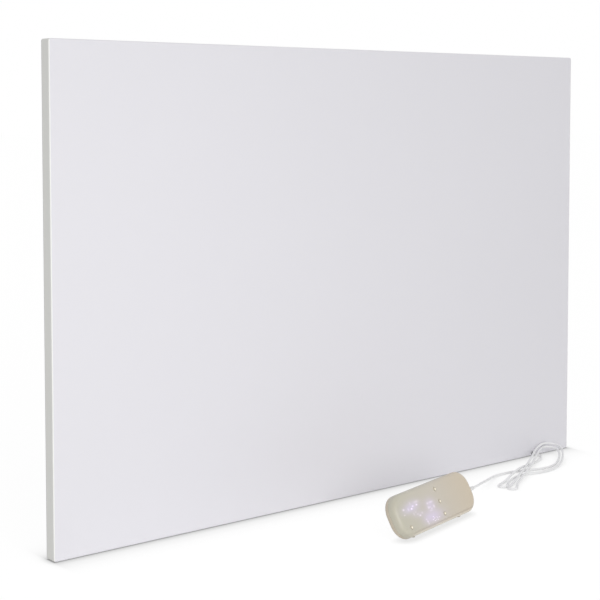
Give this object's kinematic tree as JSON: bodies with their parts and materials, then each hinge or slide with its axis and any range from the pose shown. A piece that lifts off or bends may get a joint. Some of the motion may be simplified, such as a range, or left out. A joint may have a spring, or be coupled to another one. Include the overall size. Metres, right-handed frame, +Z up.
{
  "type": "infrared panel heater",
  "caption": "Flat white infrared heating panel standing on its long edge, with a corded oval hand control that leans on a fold-out stand.",
  "frame": {"origin": "middle of the panel's bottom face, on the floor it stands on", "axes": "+X along the panel's width to the right seen from its front, +Y from its front to its back, +Z up"},
  "size_m": [0.9, 0.2509, 0.6],
  "materials": {
    "panel_paint": "satin",
    "rear_paint": "matte",
    "zinc_steel": "satin",
    "hanger_zinc": "satin",
    "stand_steel": "polished",
    "mica": "satin",
    "carbon_film": "matte",
    "copper": "satin",
    "foil": "polished",
    "fibre_board": "matte",
    "cutout_case": "gloss",
    "silicone_pad": "matte",
    "sensor_bead": "gloss",
    "box_plastic": "matte",
    "lid_plastic": "matte",
    "block_plastic": "satin",
    "board_green": "gloss",
    "relay_case": "satin",
    "gland_nylon": "satin",
    "lead_silicone": "satin",
    "cream_shell": "gloss",
    "cream_back": "gloss",
    "cream_stand": "matte",
    "key_plastic": "gloss",
    "display_case": "satin",
    "lit_segment": "gloss",
    "lit_icon": "gloss",
    "mask_film": "matte",
    "switch_case": "satin",
    "chip_case": "satin",
    "connector_nylon": "satin",
    "soft_rubber": "matte",
    "boot_rubber": "matte",
    "dark_rubber": "matte",
    "cord_jacket": "satin"
  },
  "bodies": {
    "panel": {"front_tray": "panel_paint", "rear_cover": "rear_paint", "cover_screws": "zinc_steel", "front_mica_sheet": "mica", "heating_film": "carbon_film", "busbars": "copper", "rear_mica_sheet": "mica", "reflector_foil": "foil", "insulation_board": "fibre_board", "thermal_cutouts": "cutout_case", "cutout_press_pads": "silicone_pad", "surface_sensor": "sensor_bead", "wall_hangers": "hanger_zinc", "hanger_rivets": "zinc_steel", "terminal_box": "box_plastic", "terminal_box_lid": "lid_plastic", "lid_screws": "zinc_steel", "base_screws": "zinc_steel", "earth_stud": "zinc_steel", "terminal_block": "block_plastic", "relay_board": "board_green", "power_relay": "relay_case", "mains_gland": "gland_nylon", "gland_lock_nut": "gland_nylon", "element_leads": "lead_silicone", "front_case": "cream_shell", "back_case": "cream_back", "case_screws": "zinc_steel", "control_board": "board_green", "board_screws": "zinc_steel", "display_module": "display_case", "display_digits": "lit_segment", "icon_lights": "lit_icon", "light_mask": "mask_film", "tact_switches": "switch_case", "microcontroller": "chip_case", "buzzer": "chip_case", "wire_connector": "connector_nylon", "room_sensor": "sensor_bead", "stand_pin": "stand_steel", "edge_feet": "soft_rubber", "strain_relief_boot": "boot_rubber", "cord_to_control": "cord_jacket", "cord_hank": "cord_jacket", "cord_to_panel": "cord_jacket", "signal_grommet": "dark_rubber", "inner_signal_cable": "cord_jacket"},
    "key_up": {"key_up": "key_plastic"},
    "key_down": {"key_down": "key_plastic"},
    "key_timer": {"key_timer": "key_plastic"},
    "key_power": {"key_power": "key_plastic"},
    "stand": {"stand_leg": "cream_stand", "stand_pad": "soft_rubber"}
  },
  "joints": [
    {"name": "key_up_press", "type": "slide", "parent": "panel", "child": "key_up", "axis": [-0.2211, 0.8548, -0.4695], "range_m": [0, 0.0005], "stiffness_N_per_m": 400},
    {"name": "key_down_press", "type": "slide", "parent": "panel", "child": "key_down", "axis": [-0.2211, 0.8548, -0.4695], "range_m": [0, 0.0005], "stiffness_N_per_m": 400},
    {"name": "key_timer_press", "type": "slide", "parent": "panel", "child": "key_timer", "axis": [-0.2211, 0.8548, -0.4695], "range_m": [0, 0.0005], "stiffness_N_per_m": 400},
    {"name": "key_power_press", "type": "slide", "parent": "panel", "child": "key_power", "axis": [-0.2211, 0.8548, -0.4695], "range_m": [0, 0.0005], "stiffness_N_per_m": 400},
    {"name": "stand_fold", "type": "hinge", "parent": "panel", "child": "stand", "pos_m": [-0.01359, -0.16225, 0.03946], "axis": [0.9681, 0.2504, 0], "range_deg": [-49.9, 0]}
  ]
}
